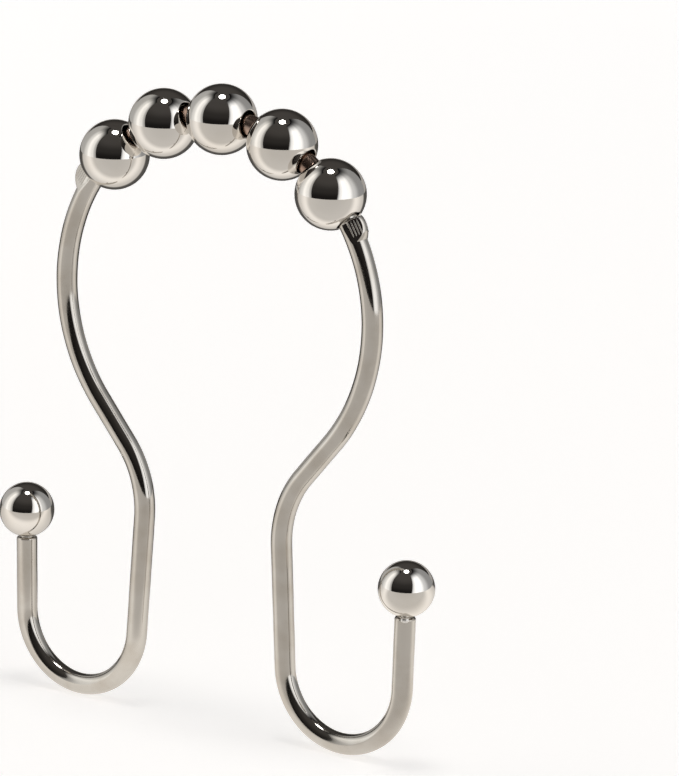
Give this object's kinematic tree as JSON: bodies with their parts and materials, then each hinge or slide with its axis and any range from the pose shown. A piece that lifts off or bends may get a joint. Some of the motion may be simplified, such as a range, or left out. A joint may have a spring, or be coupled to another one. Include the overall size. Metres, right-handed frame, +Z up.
{
  "type": "shower curtain hook",
  "caption": "Double-sided bent-wire shower curtain hook with rolling balls threaded on its arch and a fixed ball on each tip.",
  "frame": {"origin": "where the top of the curtain rod meets the underside of the rollers, in the middle of the arch", "axes": "+Z up, X across the hook from one tip to the other, Y through its thickness along the rod's length"},
  "size_m": [0.0746, 0.01, 0.0929],
  "materials": {
    "wire": "polished nickel plate on drawn steel wire",
    "ball": "polished nickel plate on steel balls"
  },
  "bodies": {
    "hook": {"hook_wire": "wire", "tip_ball_left": "ball", "tip_ball_right": "ball"},
    "roller_1": {"roller_1": "ball"},
    "roller_2": {"roller_2": "ball"},
    "roller_3": {"roller_3": "ball"},
    "roller_4": {"roller_4": "ball"},
    "roller_5": {"roller_5": "ball"}
  },
  "joints": [
    {"name": "roller_1_spin", "type": "hinge", "parent": "hook", "child": "roller_1", "pos_m": [-0.01829, 0, -0.00242], "axis": [0.7172, 0, 0.6969], "continuous": true},
    {"name": "roller_2_spin", "type": "hinge", "parent": "hook", "child": "roller_2", "pos_m": [-0.00974, 0, 0.00313], "axis": [0.9287, 0, 0.3709], "continuous": true},
    {"name": "roller_3_spin", "type": "hinge", "parent": "hook", "child": "roller_3", "pos_m": [0.00029, 0, 0.005], "axis": [0.9999, 0, -0.0111], "continuous": true},
    {"name": "roller_4_spin", "type": "hinge", "parent": "hook", "child": "roller_4", "pos_m": [0.01065, 0, 0.00274], "axis": [0.914, 0, -0.4057], "continuous": true},
    {"name": "roller_5_spin", "type": "hinge", "parent": "hook", "child": "roller_5", "pos_m": [0.01899, 0, -0.00313], "axis": [0.6904, 0, -0.7234], "continuous": true}
  ]
}
